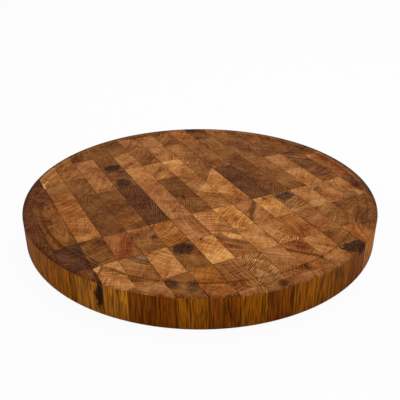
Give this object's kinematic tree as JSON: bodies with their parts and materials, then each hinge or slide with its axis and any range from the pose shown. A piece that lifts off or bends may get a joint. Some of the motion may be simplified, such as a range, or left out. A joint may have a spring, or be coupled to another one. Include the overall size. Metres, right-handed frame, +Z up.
{
  "type": "chopping block",
  "caption": "Round end-grain chopping block glued up from rectangular blocks, with a shallow juice groove round the top; it rests flat on a worktop.",
  "frame": {"origin": "middle of the underside", "axes": "+Z up, square to the board; the strips of blocks run along Y, side by side across X; +Y is the back"},
  "size_m": [0.406, 0.406, 0.038],
  "materials": {
    "end_grain_wood": "oiled, satin end grain in many tones from golden to dark brown"
  },
  "bodies": {
    "root": {"strip_01_middle": "end_grain_wood", "strip_02_back": "end_grain_wood", "strip_02_front": "end_grain_wood", "strip_02_middle": "end_grain_wood", "strip_03_back": "end_grain_wood", "strip_03_front": "end_grain_wood", "strip_03_middle": "end_grain_wood", "strip_04_back": "end_grain_wood", "strip_04_front": "end_grain_wood", "strip_04_middle": "end_grain_wood", "strip_05_back": "end_grain_wood", "strip_05_front": "end_grain_wood", "strip_05_middle": "end_grain_wood", "strip_06_back": "end_grain_wood", "strip_06_front": "end_grain_wood", "strip_06_front_end": "end_grain_wood", "strip_06_middle": "end_grain_wood", "strip_07_back": "end_grain_wood", "strip_07_back_end": "end_grain_wood", "strip_07_front": "end_grain_wood", "strip_07_front_end": "end_grain_wood", "strip_07_middle": "end_grain_wood", "strip_08_back": "end_grain_wood", "strip_08_back_end": "end_grain_wood", "strip_08_front": "end_grain_wood", "strip_08_front_end": "end_grain_wood", "strip_08_middle": "end_grain_wood", "strip_09_back": "end_grain_wood", "strip_09_back_end": "end_grain_wood", "strip_09_front": "end_grain_wood", "strip_09_front_end": "end_grain_wood", "strip_09_middle": "end_grain_wood", "strip_10_back": "end_grain_wood", "strip_10_back_end": "end_grain_wood", "strip_10_front": "end_grain_wood", "strip_10_front_end": "end_grain_wood", "strip_10_middle": "end_grain_wood", "strip_11_back": "end_grain_wood", "strip_11_back_end": "end_grain_wood", "strip_11_front": "end_grain_wood", "strip_11_front_end": "end_grain_wood", "strip_11_middle": "end_grain_wood", "strip_12_back": "end_grain_wood", "strip_12_front": "end_grain_wood", "strip_12_middle": "end_grain_wood", "strip_13_back": "end_grain_wood", "strip_13_front": "end_grain_wood", "strip_13_middle": "end_grain_wood", "strip_14_back": "end_grain_wood", "strip_14_front": "end_grain_wood", "strip_14_middle": "end_grain_wood", "strip_15_back": "end_grain_wood", "strip_15_front": "end_grain_wood", "strip_15_middle": "end_grain_wood", "strip_16_back": "end_grain_wood", "strip_16_front": "end_grain_wood", "strip_16_middle": "end_grain_wood", "strip_17_middle": "end_grain_wood"}
  },
  "joints": []
}
